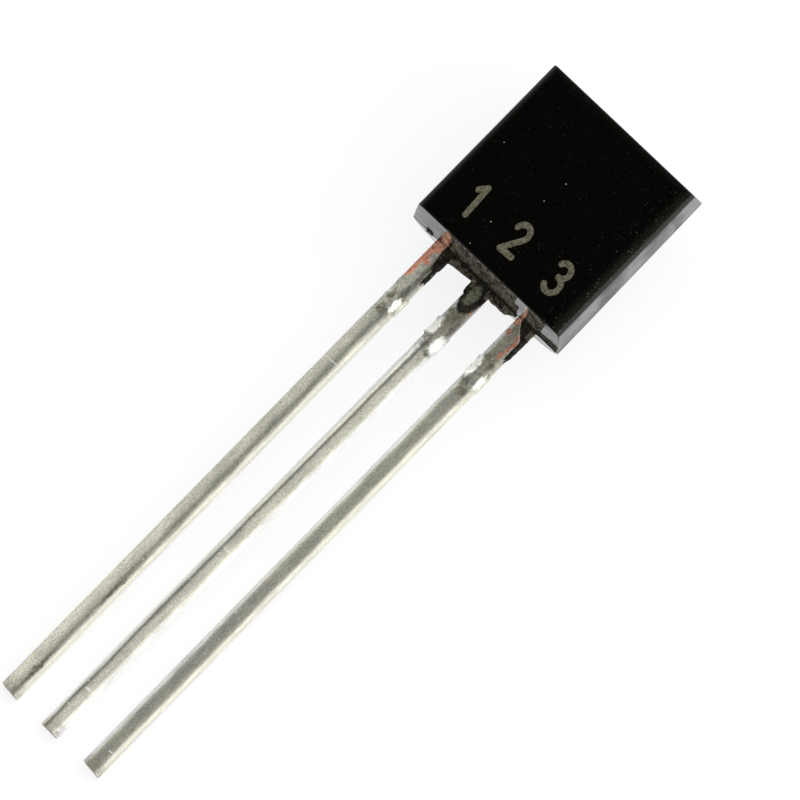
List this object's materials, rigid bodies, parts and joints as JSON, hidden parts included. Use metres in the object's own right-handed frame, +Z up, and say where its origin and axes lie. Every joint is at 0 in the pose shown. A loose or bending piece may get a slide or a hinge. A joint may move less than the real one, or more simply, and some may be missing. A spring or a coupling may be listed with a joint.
{
  "type": "to-92 transistor",
  "caption": "Small moulded transistor with a flat face, a round back and a row of stamped leads, lying flat face up.",
  "frame": {"origin": "on the surface it lies on, in the middle of the overall box", "axes": "+Z up, +X along the device from the lead tips to the top of the case, +Y across it towards the emitter lead"},
  "size_m": [0.0188, 0.0044, 0.0041],
  "materials": {
    "epoxy": "satin",
    "tinned_copper": "satin",
    "silicon": "polished",
    "die_solder": "satin",
    "bond_wire": "polished"
  },
  "bodies": {
    "root": {"case": "epoxy", "emitter_lead": "tinned_copper", "collector_lead": "tinned_copper", "base_lead": "tinned_copper", "silicon_die": "silicon", "die_attach": "die_solder", "emitter_wire": "bond_wire", "base_wire": "bond_wire"}
  },
  "joints": []
}
